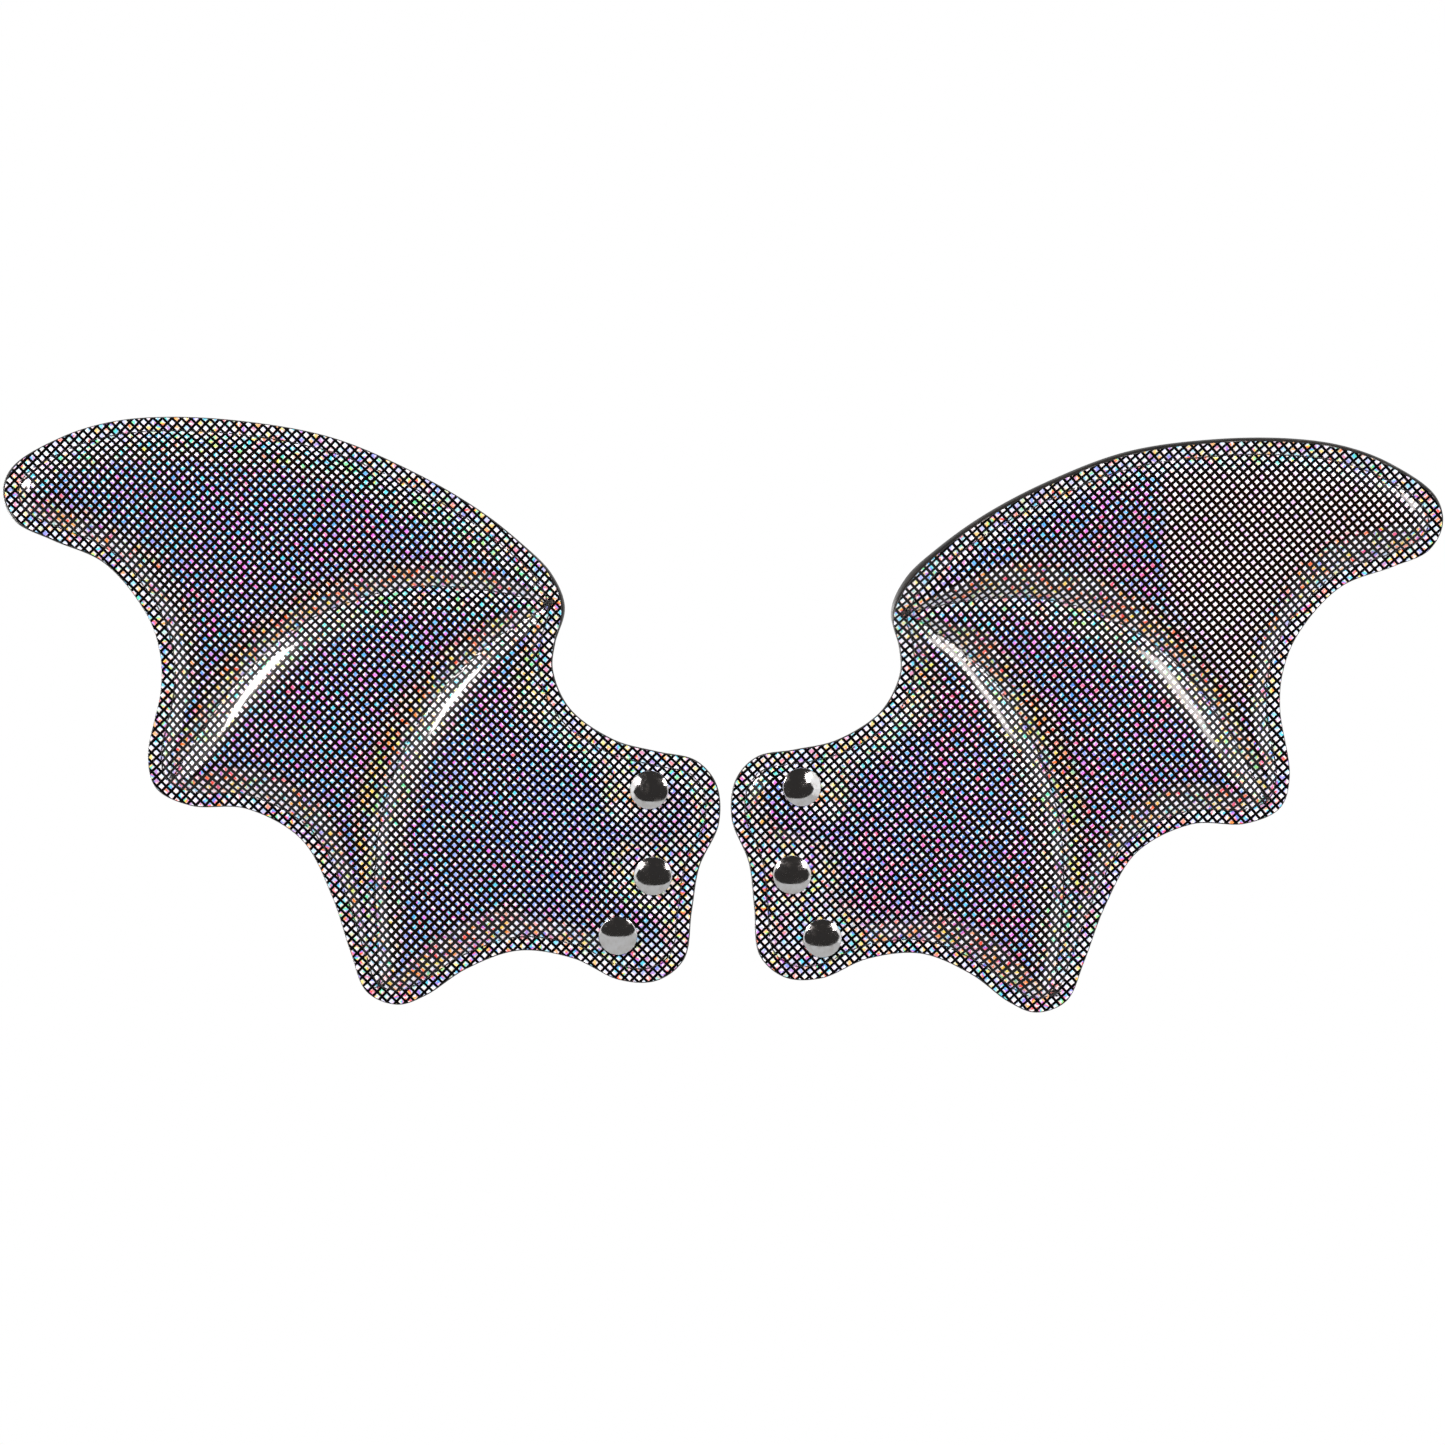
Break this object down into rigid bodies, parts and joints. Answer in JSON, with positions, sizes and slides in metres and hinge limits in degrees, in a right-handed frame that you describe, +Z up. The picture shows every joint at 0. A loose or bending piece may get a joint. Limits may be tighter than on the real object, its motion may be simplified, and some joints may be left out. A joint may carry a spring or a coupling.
{
  "type": "costume wings",
  "caption": "Pair of padded bat-shaped costume wings in black-gridded holographic film, topstitched over foam, with snap fasteners at the inner tabs.",
  "frame": {"origin": "on the harness plane that the snap sockets' rims press against, on the line between the two wings, level with the middle snap of the left wing", "axes": "+X to the right as the decorated face is looked at, +Y from the decorated face back towards the harness, +Z up as worn"},
  "size_m": [0.4656, 0.0199, 0.1923],
  "materials": {
    "holographic_film": "glossy metallised film with a black grid print and rainbow sparkle",
    "foam": "matt black foam",
    "lining_leatherette": "fine grain, low sheen",
    "stiff_board": "matt",
    "thread": "bonded polyester thread",
    "snap_chrome": "bright plated",
    "spring_wire": "drawn wire"
  },
  "bodies": {
    "left_root": {"left_face_root": "holographic_film", "left_foam_root": "foam", "left_lining_root": "lining_leatherette", "left_snap_patch": "stiff_board", "left_edge_thread_root": "thread", "left_edge_bobbin_root": "thread", "left_snap_cap_1": "snap_chrome", "left_snap_cap_2": "snap_chrome", "left_snap_cap_3": "snap_chrome", "left_snap_socket_1": "snap_chrome", "left_snap_socket_2": "snap_chrome", "left_snap_socket_3": "snap_chrome", "left_snap_spring_1": "spring_wire", "left_snap_spring_2": "spring_wire", "left_snap_spring_3": "spring_wire"},
    "left_blade": {"left_face_blade": "holographic_film", "left_foam_blade": "foam", "left_lining_blade": "lining_leatherette", "left_stiffener": "stiff_board", "left_edge_thread_blade": "thread", "left_edge_bobbin_blade": "thread", "left_upper_rib_thread": "thread", "left_upper_rib_bobbin": "thread", "left_lower_rib_thread": "thread", "left_lower_rib_bobbin": "thread"},
    "right_root": {"right_face_root": "holographic_film", "right_foam_root": "foam", "right_lining_root": "lining_leatherette", "right_snap_patch": "stiff_board", "right_edge_thread_root": "thread", "right_edge_bobbin_root": "thread", "right_snap_cap_1": "snap_chrome", "right_snap_cap_2": "snap_chrome", "right_snap_cap_3": "snap_chrome", "right_snap_socket_1": "snap_chrome", "right_snap_socket_2": "snap_chrome", "right_snap_socket_3": "snap_chrome", "right_snap_spring_1": "spring_wire", "right_snap_spring_2": "spring_wire", "right_snap_spring_3": "spring_wire"},
    "right_blade": {"right_face_blade": "holographic_film", "right_foam_blade": "foam", "right_lining_blade": "lining_leatherette", "right_stiffener": "stiff_board", "right_edge_thread_blade": "thread", "right_edge_bobbin_blade": "thread", "right_upper_rib_thread": "thread", "right_upper_rib_bobbin": "thread", "right_lower_rib_thread": "thread", "right_lower_rib_bobbin": "thread"}
  },
  "joints": [
    {"name": "wing_spacing", "type": "slide", "parent": "left_root", "child": "right_root", "axis": [1, 0, 0], "range_m": [0, 0.12]},
    {"name": "left_flex", "type": "hinge", "parent": "left_root", "child": "left_blade", "pos_m": [-0.0568, -0.00805, -0.0278], "axis": [0.1643, 0, 0.9864], "range_deg": [-30, 40], "stiffness_Nm_per_rad": 0.12},
    {"name": "right_flex", "type": "hinge", "parent": "right_root", "child": "right_blade", "pos_m": [0.05368, -0.00805, -0.02829], "axis": [0.1167, 0, -0.9932], "range_deg": [-30, 40], "stiffness_Nm_per_rad": 0.12}
  ]
}
